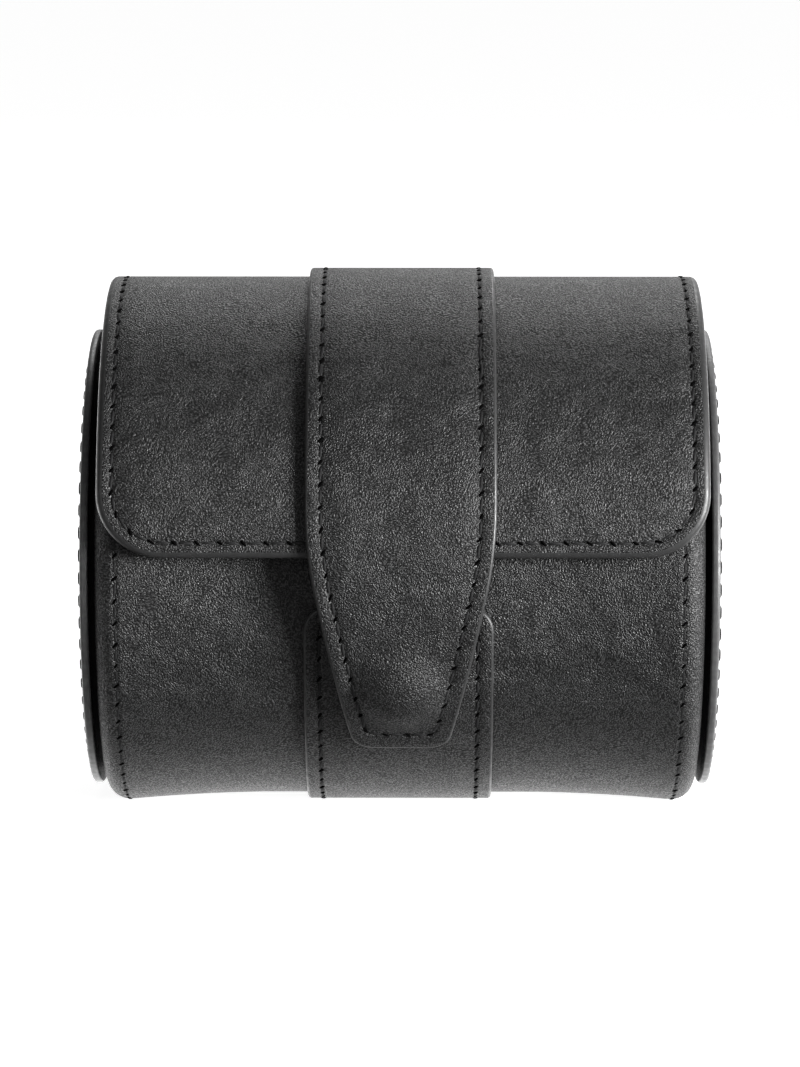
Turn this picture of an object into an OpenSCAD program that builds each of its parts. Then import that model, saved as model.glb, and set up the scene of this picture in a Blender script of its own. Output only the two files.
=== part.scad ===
// Single watch travel case: a stiff leather tube with a window in its upper front,
// a stitched lid panel that hinges at the upper back, a strap with a magnetic tongue,
// and a loose cushion that carries the watch.
// Turns are angles about the tube's axis: 0 is the front, 90 the top, 180 the back, 270 underneath.

/* [Tube] */
// Width of the tube between the faces of its two rims
tube_w = 93.6; // [88:0.2:100]
// Radius of the padded rims at the ends of the tube
rim_r = 39.1; // [38.6:0.1:39.4]
// How far the middle of the tube is drawn in from the rims
waist_drop = 1.15; // [0.6:0.05:1.4]
// Turn of the window's front lip
lip_turn = 20; // [16:1:26]
// Turn of the window's rear edge
rear_turn = 134; // [128:1:136]
// Width of the rim that frames the window at each end
rim_w = 5.3; // [4.4:0.1:7]

/* [Layers] */
// Thickness of the outer leather
leather_t = 1.2; // [0.9:0.05:1.2]
// Thickness of the tube's board
board_t = 1.4; // [1:0.1:1.8]
// Thickness of the suede lining
suede_t = 0.8; // [0.5:0.1:1]

/* [End panels] */
// Radius of the stitched end panels
panel_r = 36.5; // [34.5:0.5:37]
// Thickness of the leather face of an end panel
panel_face_t = 0.8; // [0.6:0.1:1.5]
// Thickness of the stiffener behind that face
panel_board_t = 0.5; // [0.4:0.1:1.2]
// Width of the shadow gap between an end panel and the tube
panel_gap = 1.0; // [0.5:0.1:1.2]
// Radius of the spacer inside the shadow gap
spacer_r = 33.5; // [31:0.5:34]

/* [Lid] */
// Width of the lid panel
lid_w = 93.4; // [88:0.2:93.4]
// Outer radius of the lid panel
lid_r = 40.6; // [40.5:0.1:40.9]
// Thickness of the board inside the lid
lid_board_t = 1.0; // [0.8:0.1:1.1]
// Turn of the lid's front edge, about the lid's own centre
lid_front_turn = 3.5; // [2:0.5:8]
// Turn of the rear edge of the lid's board, about the lid's own centre
lid_rear_turn = 143; // [141:0.5:144]
// Radius of the lid's two front corners
lid_corner_r = 10; // [6:0.5:12]

/* [Strap] */
// Width of the strap
strap_w = 29.2; // [26:0.2:32]
// Thickness of the strap where it is sewn to the lid
strap_t = 1.4; // [1.3:0.1:1.8]
// Turn of the bar tacks, where the sewn strap ends and the free tongue starts
tack_turn = 45; // [38:1:55]
// Half the width of the tongue at its tip
tongue_tip_half = 7.2; // [6.8:0.1:8]
// Thickness of the catch strap around the tube
catch_t = 1.0; // [0.8:0.05:1]

/* [Magnets] */
// Radius of the two hidden magnets
magnet_r = 5; // [4:0.5:5.5]
// Turn of the magnet in the tongue, about the tongue's own centre
magnet_turn = -25; // [-27:0.5:-22]

/* [Cushion] */
// Radius of the watch cushion at its middle
cushion_r = 26.5; // [24:0.5:28]
// Length of the watch cushion
cushion_w = 80; // [70:1:82]

/* [Hidden] */
$fn = 60;

eps = 0.05;                                   // overlap that fuses two shapes of one piece
graze = 0.03;                                 // how far a corner's circle reaches past the edges it rounds
round_fn = 16;                                // steps round a whole turn of a small rounding
bow_fn = 240;                                 // steps round a whole turn of a long, shallow bow
flat_cut = 0.3;                               // how far the rims are pressed flat on the table
axis_z = rim_r - flat_cut;                    // height of the tube's axis

// Tube, from the outside in
tube_half = tube_w / 2;
waist_r = rim_r - waist_drop;
shell_r = waist_r - leather_t;                // inside of the leather
board_r = shell_r - board_t;                  // inside of the board
bore_r = board_r - suede_t;                   // inside of the lining
end_turn_t = 0.8;                             // leather turned in over the tube's ends
board_half = tube_half - end_turn_t;
window_half = tube_half - rim_w;
end_board_t = 2;
end_lining_x = board_half - end_board_t - suede_t;
rim_round = 3.3;                              // rounding of the rims' outer corner
rim_top = 0.6;                                // width of a rim's crest
waist_flat_half = 22;                         // half the width of the straight middle of the waist
waist_flare = tube_half - rim_round - rim_top - waist_flat_half;
flare_start = 1;                              // slope at which the flare leaves the waist, in degrees
flare_chord = norm([waist_flare, waist_drop]);
flare_r = flare_chord / 2 / sin(atan2(waist_drop, waist_flare) - flare_start);
lip_bead_r = (waist_r - bore_r) / 2 - 0.08;   // rolled leather edge of the window
lip_bead_at = (waist_r + bore_r) / 2;
edge_turn = 2.7;                              // how far board and lining stop short of the rolled edge

// Lid, about a centre above and in front of the tube's axis, so that it stands clear over the window
lid_centre = [-1.2, 4.6];
lid_half = lid_w / 2;
lid_board_r = lid_r - leather_t;
lid_lining_r = lid_board_r - lid_board_t;
lid_inner_r = lid_lining_r - suede_t;

// Strap and tongue
strap_half = strap_w / 2;
strap_r = lid_r + strap_t;
tongue_gap = 0.25;                            // air between the free tongue and the lid
tongue_back_r = lid_r + tongue_gap;
tongue_face_t = 0.7;
tongue_bend_turn = 5;                         // where the tongue leaves the lid's curve
tongue_relief = 2.4;                          // how much flatter it runs below the lid
tongue_centre = lid_centre - tongue_relief * dir(tongue_bend_turn);
tongue_low_r = strap_r + tongue_relief;
tongue_cut_turn = -25;                        // the tongue's outline is drawn looking along this turn
tongue_shoulder = [strap_half, 22.4];
tongue_tip_z = -11.9;
catch_r = waist_r + catch_t;
catch_front_turn = -1.2;
catch_rear_turn = 158;
catch_corner_round = 4;
catch_magnet_turn = -18.4;
magnet_t = 1.0;
catch_magnet_t = 0.8;
dome_r = 20;                                  // roundness of the leather over a magnet
magnet_cover = 0.9;                           // leather that stays over a magnet

// Hinge: one strip of leather, sewn to the back of the tube and running up into the lid
tail_top_turn = 150;
tail_end_turn = 166;
strap_end_turn = 163;
tail_round = 4;
bend_steps = 10;
tail_steps = 8;
leather_bend = bend(tail_point(rim_r + leather_t / 2), lid_point(lid_r - leather_t / 2));
hinge_pivot = leather_bend[bend_steps / 2][0];

// Cushion: it lies on the lining
cushion_clear = 0.3;
cushion_drop = bore_r - cushion_r - cushion_clear;
cushion_half = cushion_w / 2;
cushion_crown = 1.3;                          // how much thinner the ends are than the middle
cushion_suede_t = 0.9;
cap_dome = 2.2;                               // how far the cushion's ends bulge
crown_r = (cushion_half * cushion_half + cushion_crown * cushion_crown) / (2 * cushion_crown);
cap_r = cushion_r - cushion_crown;
cap_ball_r = (cap_r * cap_r + cap_dome * cap_dome) / (2 * cap_dome);

leather_black = [0.13, 0.13, 0.135];
suede_grey = [0.2, 0.2, 0.21];
board_brown = [0.45, 0.36, 0.26];
magnet_grey = [0.62, 0.62, 0.64];
foam_white = [0.85, 0.83, 0.78];
felt_black = [0.03, 0.03, 0.03];

echo(hinge_pivot = [hinge_pivot[0], axis_z + hinge_pivot[1]]);
echo(tack_pivot = lid_centre + strap_r * dir(tack_turn) + [0, axis_z]);
echo(cushion_axis = [0, axis_z - cushion_drop]);

// Y and Z of a unit step from the axis at a turn, and the direction that leads from there to the front
function dir(turn) = [-cos(turn), sin(turn)];
function ahead(turn) = [-sin(turn), -cos(turn)];
function unit(v) = v / norm(v);

// A point of the tail or of the lid's rear edge, with the direction the leather runs in there
function tail_point(r) = [r * dir(tail_top_turn), ahead(tail_top_turn)];
function lid_point(r) = [lid_centre + r * dir(lid_rear_turn), ahead(lid_rear_turn)];

// Smooth curve between two such points, as places with the directions it runs in there
function bend(a, b) = let (reach = norm(b[0] - a[0])) [
    for (i = [0 : bend_steps]) let (t = i / bend_steps) [
        (2 * t ^ 3 - 3 * t ^ 2 + 1) * a[0] + (t ^ 3 - 2 * t ^ 2 + t) * reach * a[1]
        + (3 * t ^ 2 - 2 * t ^ 3) * b[0] + (t ^ 3 - t ^ 2) * reach * b[1],
        unit(
            (6 * t ^ 2 - 6 * t) * (a[0] - b[0]) + (3 * t ^ 2 - 4 * t + 1) * reach * a[1]
            + (3 * t ^ 2 - 2 * t) * reach * b[1]
        )
    ]
];

// The sewn-down tail as such a curve, from its lower end up to the bend
function tail(end_turn) = [
    for (i = [0 : tail_steps - 1]) let (turn = end_turn + (tail_top_turn - end_turn) * i / tail_steps)
        [(rim_r + leather_t / 2) * dir(turn), ahead(turn)]
];

// The points beside a curve, offset to its outer side
function beside(curve, offset) = [for (p = curve) p[0] + offset * [p[1][1], -p[1][0]]];
function reversed(list) = [for (i = [len(list) - 1 : -1 : 0]) list[i]];

// Points that round the corner b between a and c
function round_corner(a, b, c, r, n = 8) = let (
    u = unit(a - b),
    v = unit(c - b),
    half = acos(u * v) / 2,
    centre = b + unit(u + v) * r / sin(half),
    p = b + u * r / tan(half) - centre,
    q = b + v * r / tan(half) - centre,
    start = atan2(p[1], p[0]),
    sweep = (atan2(q[1], q[0]) - start + 540) % 360 - 180
) [for (i = [0 : n]) centre + r * [cos(start + sweep * i / n), sin(start + sweep * i / n)]];

// An outline whose corners are rounded, each by its own radius, or left sharp at 0
function rounded(points, radii) = let (n = len(points)) [
    for (i = [0 : n - 1])
        each radii[i] == 0
            ? [points[i]]
            : round_corner(points[(i + n - 1) % n], points[i], points[(i + 1) % n], radii[i])
];

// Turns a profile, drawn as radius by X, about an axis along X
module sweep(from, to, centre = [0, 0])
    translate([0, centre[0], axis_z + centre[1]])
        rotate([0, 90, 0])
            rotate([0, 0, 270 - to])
                rotate_extrude(angle = to - from) children();

module ring() sweep(0, 360) children();

// Rectangle of a profile between two radii, from -half to half along X
module band(r0, r1, half) translate([r0, -half]) square([r1 - r0, 2 * half]);

// The same rectangle between two places along X
module slab(r0, r1, x0, x1) translate([r0, x0]) square([r1 - r0, x1 - x0]);

module mirrored() {
    children();
    mirror([1, 0, 0]) children();
}

// Prism of an X by Z outline, from the axis outwards at a turn
module prism(turn = 0, centre = [0, 0], reach = 60)
    translate([0, centre[0], axis_z + centre[1]])
        rotate([-turn, 0, 0]) rotate([90, 0, 0]) linear_extrude(reach) children();

// Shape that stands on the axis and points outwards at a turn
module outward(turn, centre = [0, 0])
    translate([0, centre[0], axis_z + centre[1]]) rotate([90 - turn, 0, 0]) children();

// What is cut away outside the rounded lower corner of a piece that ends at a height
module corner_waste(half, height, r) difference() {
    translate([half - r, height - 2]) square([r + 2, r + 2]);
    translate([half - r + graze, height + r - graze]) circle(r);
}

module quarter(r) intersection() {
    circle(r, $fn = round_fn);
    square(r);
}

// What the flare leaves free beside the waist: a large circle that starts at a slight slope
module flare() intersection() {
    translate([waist_r + flare_r * cos(flare_start), waist_flat_half - flare_r * sin(flare_start)])
        circle(flare_r, $fn = 2 * bow_fn);
    translate([waist_r, waist_flat_half - 4]) square(60);
}

// Outline of the whole tube: straight waist, flared and rounded rims
module tube_outline() {
    corner = [rim_r - rim_round, tube_half - rim_round];
    difference() {
        union() {
            band(0, rim_r, tube_half - rim_round);
            band(0, rim_r - rim_round, tube_half);
            translate(corner) quarter(rim_round);
            mirror([0, 1]) translate(corner) quarter(rim_round);
        }
        band(waist_r, rim_r + 1, waist_flat_half - 2);
        flare();
        mirror([0, 1]) flare();
    }
}

// Profile of the tube's leather: its wall and the turned-in ends
module wall_profile() intersection() {
    tube_outline();
    union() {
        band(shell_r, rim_r + 1, tube_half + 1);
        slab(spacer_r, shell_r + eps, board_half, tube_half + 1);
        slab(spacer_r, shell_r + eps, -tube_half - 1, -board_half);
    }
}

module table_cut() translate([-60, -60, -20]) cube([120, 120, 20]);

// Rolled edge of the window, at its front lip or its rear edge
module rolled_edge(turn) {
    half = window_half + rim_w / 8;
    translate([-half, lip_bead_at * dir(turn)[0], axis_z + lip_bead_at * dir(turn)[1]])
        rotate([0, 90, 0]) cylinder(r = lip_bead_r, h = 2 * half, $fn = round_fn);
}

// The leather turns in through the window all round, over the edges of board and lining
module case_leather() color(leather_black) difference() {
    union() {
        difference() {
            union() {
                ring() wall_profile();
                sweep(lip_turn - edge_turn, rear_turn + edge_turn) band(bore_r, shell_r + eps, end_lining_x);
            }
            sweep(lip_turn, rear_turn) band(shell_r - 6, rim_r + 6, window_half);
        }
        rolled_edge(lip_turn);
        rolled_edge(rear_turn);
    }
    table_cut();
}

module case_board() color(board_brown) difference() {
    ring() band(board_r, shell_r, board_half);
    sweep(lip_turn - edge_turn, rear_turn + edge_turn) band(board_r - 5, shell_r + 5, end_lining_x);
}

module case_lining() color(suede_grey)
    sweep(rear_turn + edge_turn, 360 + lip_turn - edge_turn) band(bore_r, board_r, end_lining_x);

// A disc of an end wall, for the right side
module disc(r, x0, x1) translate([x0, 0, axis_z]) rotate([0, 90, 0]) cylinder(r = r, h = x1 - x0);

module end_lining() color(suede_grey) disc(board_r, end_lining_x, end_lining_x + suede_t);

module end_board() color(board_brown) disc(board_r, end_lining_x + suede_t, board_half);

module end_spacer() color(felt_black) disc(spacer_r, board_half, tube_half + panel_gap);

module end_panel_board() color(board_brown)
    disc(panel_r, tube_half + panel_gap, tube_half + panel_gap + panel_board_t);

// Leather face with a rounded rim
module end_panel() color(leather_black) {
    x0 = tube_half + panel_gap + panel_board_t;
    edge_round = panel_face_t - 0.2;
    ring() {
        slab(0, panel_r, x0, x0 + panel_face_t - edge_round);
        slab(0, panel_r - edge_round, x0, x0 + panel_face_t);
        translate([panel_r - edge_round, x0 + panel_face_t - edge_round]) quarter(edge_round);
    }
}

// Low round swelling of the leather over a magnet, about the magnet's own line
module dome(surface_r) intersection() {
    translate([0, 0, surface_r + magnet_cover - dome_r]) sphere(dome_r);
    translate([0, 0, surface_r - 3]) cylinder(r = magnet_r + 4, h = 12);
}

// Strap sewn around the tube from under the tongue, underneath and up the back
module catch_strap() color(leather_black) difference() {
    union() {
        sweep(catch_rear_turn - 360, catch_front_turn) band(waist_r, catch_r, strap_half);
        outward(catch_magnet_turn) difference() {
            dome(waist_r + catch_magnet_t);
            cylinder(r = magnet_r + 6, h = waist_r + catch_t / 2);
        }
    }
    outward(catch_magnet_turn) cylinder(r = magnet_r + eps, h = waist_r + catch_magnet_t + eps);
    mirrored() prism() mirror([0, 1])
        corner_waste(strap_half, -catch_r * sin(catch_front_turn), catch_corner_round);
    table_cut();
}

module catch_magnet() color(magnet_grey) outward(catch_magnet_turn) difference() {
    cylinder(r = magnet_r, h = waist_r + catch_magnet_t);
    cylinder(r = magnet_r + 1, h = waist_r + eps);
}

// Strip from the tail's end up into the lid, between two offsets from the middle of the leather
module hinge_strip(end_turn, inner, outer, half) {
    curve = concat(tail(end_turn), leather_bend);
    difference() {
        translate([-half, 0, axis_z])
            rotate([90, 0, 90])
                linear_extrude(2 * half)
                    polygon(concat(beside(curve, outer), reversed(beside(curve, inner))));
        mirrored() mirror([0, 1, 0]) prism()
            corner_waste(half, (rim_r + leather_t / 2 + inner) * sin(end_turn), tail_round);
    }
}

// Flexible leather between the back of the tube and the lid, with the tail that is sewn down
module hinge_leather() color(leather_black)
    hinge_strip(tail_end_turn, -leather_t / 2, leather_t / 2, lid_half);

// Strap over the hinge, sewn to the tail and to the lid
module hinge_strap() color(leather_black)
    hinge_strip(strap_end_turn, leather_t / 2, leather_t / 2 + strap_t, strap_half);

// One layer of the lid panel, with its two rounded front corners
module lid_layer(r0, r1) difference() {
    sweep(lid_front_turn, lid_rear_turn, lid_centre) band(r0, r1, lid_half);
    mirrored() prism(0, lid_centre)
        corner_waste(lid_half, r0 * sin(lid_front_turn), lid_corner_r);
}

module lid_leather() color(leather_black) lid_layer(lid_board_r, lid_r);

module lid_board() color(board_brown) lid_layer(lid_lining_r, lid_board_r);

module lid_lining() color(suede_grey) lid_layer(lid_inner_r, lid_lining_r);

module lid_strap() color(leather_black)
    sweep(tack_turn, lid_rear_turn, lid_centre) band(lid_r, strap_r, strap_half);

// Tapering outline of the tongue, with a soft shoulder and a rounded tip
module tongue_outline() {
    tip = [tongue_tip_half, tongue_tip_z];
    polygon(rounded(
        [
            [strap_half, 90], tongue_shoulder, tip,
            [-tip[0], tip[1]], [-strap_half, tongue_shoulder[1]], [-strap_half, 90]
        ],
        [0, 60, 2.4, 2.4, 60, 0]
    ));
}

// One layer of the tongue, between two depths below the strap's outer face
module tongue_layer(depth0, depth1) intersection() {
    union() {
        sweep(tongue_bend_turn, tack_turn, lid_centre)
            band(strap_r - depth1, strap_r - depth0, strap_half);
        sweep(-50, tongue_bend_turn + 0.01, tongue_centre)
            band(tongue_low_r - depth1, tongue_low_r - depth0, strap_half);
    }
    prism(tongue_cut_turn, tongue_centre) tongue_outline();
}

magnet_seat_r = tongue_low_r - tongue_face_t;

module tongue_face() color(leather_black) difference() {
    union() {
        tongue_layer(0, tongue_face_t);
        outward(magnet_turn, tongue_centre) difference() {
            dome(magnet_seat_r + magnet_t);
            cylinder(r = magnet_r + 6, h = magnet_seat_r + tongue_face_t / 2);
        }
    }
    outward(magnet_turn, tongue_centre)
        cylinder(r = magnet_r + eps, h = magnet_seat_r + magnet_t + eps);
}

module tongue_backing() color(leather_black)
    tongue_layer(tongue_face_t, strap_r - tongue_back_r);

module tongue_magnet() color(magnet_grey) outward(magnet_turn, tongue_centre)
    translate([0, 0, magnet_seat_r + eps]) cylinder(r = magnet_r, h = magnet_t - eps);

// Crowned profile of the cushion, set in by t all over
module crown_profile(t) intersection() {
    translate([0, -cushion_half]) square([cushion_r - t, cushion_w]);
    translate([cushion_r - t - crown_r, 0]) circle(crown_r, $fn = bow_fn);
}

module at_cushion() translate([0, 0, -cushion_drop]) children();

module cushion_core() color(foam_white) at_cushion() ring() crown_profile(cushion_suede_t);

module cushion_cover() color(suede_grey) at_cushion() ring() difference() {
    crown_profile(0);
    crown_profile(cushion_suede_t);
}

// Domed end of the cushion, for the right side
module cushion_cap() color(suede_grey) at_cushion() ring() intersection() {
    slab(0, cap_r, cushion_half, cushion_half + cap_dome + 1);
    translate([0, cushion_half + cap_dome - cap_ball_r]) circle(cap_ball_r, $fn = bow_fn / 2);
}

case_leather();
case_board();
case_lining();
end_lining();  // end_lining_right
end_board();  // end_board_right
end_spacer();  // end_spacer_right
end_panel_board();  // end_panel_board_right
end_panel();  // end_panel_right
mirror([1, 0, 0]) end_lining();  // end_lining_left
mirror([1, 0, 0]) end_board();  // end_board_left
mirror([1, 0, 0]) end_spacer();  // end_spacer_left
mirror([1, 0, 0]) end_panel_board();  // end_panel_board_left
mirror([1, 0, 0]) end_panel();  // end_panel_left
catch_strap();
catch_magnet();
hinge_leather();
hinge_strap();
lid_leather();
lid_board();
lid_lining();
lid_strap();
tongue_face();
tongue_backing();
tongue_magnet();
cushion_core();
cushion_cover();
cushion_cap();  // cushion_cap_right
mirror([1, 0, 0]) cushion_cap();  // cushion_cap_left
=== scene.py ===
# %% [markdown]
# # A travel case for one watch, in black leather
# The CAD model already says where every part of this case is and how big it is. This lesson dresses it:
# flat leather is cut, its edge is rounded, a groove is pressed for the seam, and then it is laid round the
# case, in the order in which a leather worker would do it. All sizes are in metres.

# %% Load the frame
import math
import bmesh
import bpy
import numpy as np
from mathutils import Matrix, Vector


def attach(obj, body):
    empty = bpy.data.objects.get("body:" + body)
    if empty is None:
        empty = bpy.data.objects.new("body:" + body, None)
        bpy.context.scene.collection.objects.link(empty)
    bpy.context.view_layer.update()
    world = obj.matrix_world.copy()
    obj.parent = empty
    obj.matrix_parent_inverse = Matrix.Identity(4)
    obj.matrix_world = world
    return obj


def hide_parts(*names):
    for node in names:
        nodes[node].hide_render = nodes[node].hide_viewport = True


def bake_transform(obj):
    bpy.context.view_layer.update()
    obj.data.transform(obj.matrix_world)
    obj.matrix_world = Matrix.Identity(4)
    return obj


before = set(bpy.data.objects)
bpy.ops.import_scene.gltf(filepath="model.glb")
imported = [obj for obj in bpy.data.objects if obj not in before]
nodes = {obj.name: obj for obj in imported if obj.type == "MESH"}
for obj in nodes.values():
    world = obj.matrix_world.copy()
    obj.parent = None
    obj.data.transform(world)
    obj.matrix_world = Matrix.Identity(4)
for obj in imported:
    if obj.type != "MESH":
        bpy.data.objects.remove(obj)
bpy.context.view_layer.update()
MM = 0.001

# %% [markdown]
# ## The lines that the leather follows
# Seen from the side, the case is a round tube, and everything on it is wrapped around it: the lid over the
# window, the strap over the lid, the second strap underneath. Each wrapped piece needs one line to follow.
# A Blender curve could be one, but a list of points with its length along it can also tell a stitch where
# it belongs. A turn of 0 is the front, and 90 is the top. The case is sewn by hand, and its lid sits half a
# millimetre to the right, so a line may lie a little aside.

# %% Sizes of the case and its round
TUBE_AXIS = Vector((0.0, 38.8 * MM))
LID_CENTRE = TUBE_AXIS + Vector((-1.2, 4.6)) * MM
RIM_R = 39.1 * MM
WAIST_R = 37.95 * MM
SHELL_R = 36.75 * MM          # inside of the tube's leather
TUBE_HALF = 46.8 * MM
RIM_ROUND = 3.3 * MM
LID_R = 40.6 * MM             # grain side of the lid, about the lid's own centre
STRAP_R = 42.0 * MM
LEATHER = 1.2 * MM
SIDES = (("left", -1), ("right", 1))
SEAM_MARGIN = 2.4 * MM        # from the edge of the leather to its seam
LID_FRONT, LID_REAR = 3.5, 143.0
TAIL = 150.0                  # turn where the hinge leather lands on the tube


def toward(turn):
    """Unit step in Y and Z from the middle of the round, at a turn in degrees."""
    return Vector((-math.cos(math.radians(turn)), math.sin(math.radians(turn))))


def running_back(turn):
    """The direction in which a line runs at that turn, on its way to the back."""
    return Vector((math.sin(math.radians(turn)), math.cos(math.radians(turn))))


def arc(centre, radius, start, stop):
    """Points on a round from one turn to another, less than half a degree apart."""
    count = max(2, round(abs(stop - start) / 0.4))
    return [centre + radius * toward(start + (stop - start) * i / count) for i in range(count + 1)]


def hinge_bend(lift):
    """The soft S from the lid's rear edge down to the sewn tail, lifted off its middle line."""
    a, b = LID_CENTRE + 40.0 * MM * toward(LID_REAR), TUBE_AXIS + 39.7 * MM * toward(TAIL)
    da, db = running_back(LID_REAR), running_back(TAIL)
    reach, line, steps = (b - a).length, [], 24
    for i in range(1, steps):
        t = i / steps
        place = ((2 * t**3 - 3 * t**2 + 1) * a + (t**3 - 2 * t**2 + t) * reach * da
                 + (3 * t**2 - 2 * t**3) * b + (t**3 - t**2) * reach * db)
        run = ((6 * t**2 - 6 * t) * (a - b) + (3 * t**2 - 4 * t + 1) * reach * da
               + (3 * t**2 - 2 * t) * reach * db).normalized()
        line.append(place + lift * Vector((-run.y, run.x)))
    return line


class Line:
    """A line from the front end to the back end of a wrapped piece, in Y and Z, a little aside in X."""

    def __init__(self, points, aside=0.0):
        self.aside = aside
        self.points = np.array([tuple(p) for p in points])
        step = np.diff(self.points, axis=0)
        self.along = np.concatenate([[0.0], np.cumsum(np.hypot(step[:, 0], step[:, 1]))])
        run = np.gradient(self.points, self.along, axis=0)
        run /= np.linalg.norm(run, axis=1)[:, None]
        self.out = np.stack([-run[:, 1], run[:, 0]], axis=1)
        self.length = float(self.along[-1])

    def at(self, s):
        """Y, Z and the outward direction at a length along the line."""
        return [np.interp(s, self.along, column) for column in (*self.points.T, *self.out.T)]


lid_path = arc(LID_CENTRE, LID_R, LID_FRONT, LID_REAR) + hinge_bend(0.6 * MM)
lid_path += arc(TUBE_AXIS, 40.3 * MM, TAIL, 166)
lid_line = Line(lid_path, aside=0.5 * MM)
print("the lid's leather is", round(lid_line.length / MM, 1), "mm long from its front edge to its sewn tail")

# %% [markdown]
# ## Hands on the mesh
# Modelling by hand is mostly choosing: pick these corners, bevel them; pick that face, inset it. A script
# has no mouse, so it picks by place or by direction. These few helpers do the picking.

# %% Picking
def nothing():
    """Back to object mode, with nothing selected."""
    if bpy.context.object and bpy.context.object.mode != "OBJECT":
        bpy.ops.object.mode_set(mode="OBJECT")
    bpy.ops.object.select_all(action="DESELECT")


def only(piece):
    """Select one piece alone, in object mode."""
    nothing()
    piece.select_set(True)
    bpy.context.view_layer.objects.active = piece


def soften(piece):
    """Shade faces that meet gently as one."""
    only(piece)
    bpy.ops.object.shade_smooth_by_angle(angle=math.radians(40))


def pick(kind, test):
    """In edit mode, select the VERT, EDGE or FACE parts for which the test holds."""
    bpy.ops.mesh.select_mode(type=kind)
    bpy.ops.mesh.select_all(action="DESELECT")
    piece = bpy.context.edit_object
    mesh = bmesh.from_edit_mesh(piece.data)
    parts = [p for p in {"VERT": mesh.verts, "EDGE": mesh.edges, "FACE": mesh.faces}[kind] if test(p)]
    for part in parts:
        part.select_set(True)
    mesh.select_flush_mode()
    bmesh.update_edit_mesh(piece.data)
    return len(parts)


def everything():
    """Select all of the piece that is in edit mode."""
    bpy.ops.mesh.select_all(action="SELECT")


def begin(name):
    """Name the piece that was just added and open it in edit mode, all of it selected."""
    piece = bpy.context.active_object
    piece.name = piece.data.name = name
    bpy.ops.object.mode_set(mode="EDIT")
    everything()
    return piece


def face_outwards(merge=False):
    """Turn all faces outwards, if wanted after points that lie on one another are merged."""
    everything()
    if merge:
        bpy.ops.mesh.remove_doubles(threshold=1e-6)
        everything()
    bpy.ops.mesh.normals_make_consistent(inside=False)


def points_of(mesh):
    """A mesh's points as a table with a row for each."""
    flat = np.empty(len(mesh.vertices) * 3)
    mesh.vertices.foreach_get("co", flat)
    return flat.reshape(-1, 3)


# %% Cutting leather
FLAT_UP = 0.999               # the least Z of a normal that points straight up


def cut_piece(name, width, length):
    """A flat piece of leather: X is across, Y is along its line, and Z = 0 is its grain side."""
    nothing()
    bpy.ops.mesh.primitive_plane_add(size=1)
    piece = begin(name)
    bpy.ops.transform.resize(value=(width, length, 1))
    bpy.ops.transform.translate(value=(0, length / 2, 0))
    return piece


def round_corners(test, reach, steps):
    """Round the picked corners of the cut piece, starting at a reach from each corner."""
    pick("VERT", test)
    bpy.ops.mesh.bevel(offset=reach, segments=steps, affect="VERTICES")


def upright(edge):
    """True for an edge of the cut piece between its flat side and its cut side."""
    tilts = sorted(abs(face.normal.z) for face in edge.link_faces)
    return len(tilts) == 2 and tilts[0] < 0.5 < tilts[1]


def thicken(thickness, edge_round):
    """Give the cut piece its thickness and a rounded, painted edge (the second material)."""
    bpy.ops.mesh.select_mode(type="FACE")
    everything()
    bpy.ops.mesh.extrude_region_move(TRANSFORM_OT_translate={"value": (0, 0, -thickness)})
    face_outwards()
    pick("EDGE", upright)
    bpy.ops.mesh.bevel(offset=edge_round, segments=3)
    mesh = bmesh.from_edit_mesh(bpy.context.edit_object.data)
    for face in mesh.faces:
        face.material_index = 0 if abs(face.normal.z) > FLAT_UP else 1


GROOVE_SIDES = ((0.28, 0.1), (0.22, 0.1), (0.22, -0.1), (0.28, -0.1))  # how wide and how far down, in mm


def press_groove(margin, shift=None):
    """Press the seam's groove into the grain side, and return the seam's points in order.

    shift(y) says how far the seam and all within it move up the piece."""
    pick("FACE", lambda f: f.normal.z > FLAT_UP)
    flat = bpy.context.edit_object.data
    bpy.ops.mesh.inset(thickness=margin - 0.5 * MM, depth=0)
    if shift:
        mesh = bmesh.from_edit_mesh(flat)
        for v in next(f for f in mesh.faces if f.select).verts:
            v.co.y += shift(v.co.y)
        bmesh.update_edit_mesh(flat)
    for number, (width, sink) in enumerate(GROOVE_SIDES):
        bpy.ops.mesh.inset(thickness=width * MM, depth=-sink * MM)
        bpy.ops.mesh.remove_doubles(threshold=0.12 * MM)
        if number == 1:
            mesh = bmesh.from_edit_mesh(flat)
            seam = [v.co.copy() for v in next(f for f in mesh.faces if f.select).verts]
    return seam


def slice_up(step, axis, low, high):
    """Slice the piece at every step along X (axis 0) or Y (axis 1), so that it can bend."""
    normal = Vector((1 - axis, axis, 0))
    count = max(1, round((high - low) / step))
    for i in range(1, count):
        everything()
        bpy.ops.mesh.bisect(plane_co=normal * (low + (high - low) * i / count), plane_no=normal)


# %% [markdown]
# ## Laying a flat piece round the case
# A Curve modifier can bend a mesh along a curve, and it is what most people reach for. Here the same move
# is written out, since the seams, the threads and the leather must all land on one another exactly: a
# point's Y is looked up on the line, and its Z lifts it off the line. Nothing goes below the table.

# %% Laying
def lay(piece, line, start=0.0, thinner=None):
    """Lay a flat piece along a line. thinner(s) gives how much of its depth is left at s."""
    bpy.ops.object.mode_set(mode="OBJECT")
    mesh = piece.data
    across, along, depth = points_of(mesh).T
    y, z, out_y, out_z = line.at(along + start)
    if thinner:
        depth = np.where(depth < -0.5 * MM, depth * thinner(along + start), depth)
    laid = np.stack([across + line.aside, y + depth * out_y, np.maximum(z + depth * out_z, 0.0)], axis=1)
    mesh.vertices.foreach_set("co", laid.ravel())
    mesh.update()
    soften(piece)


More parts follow.
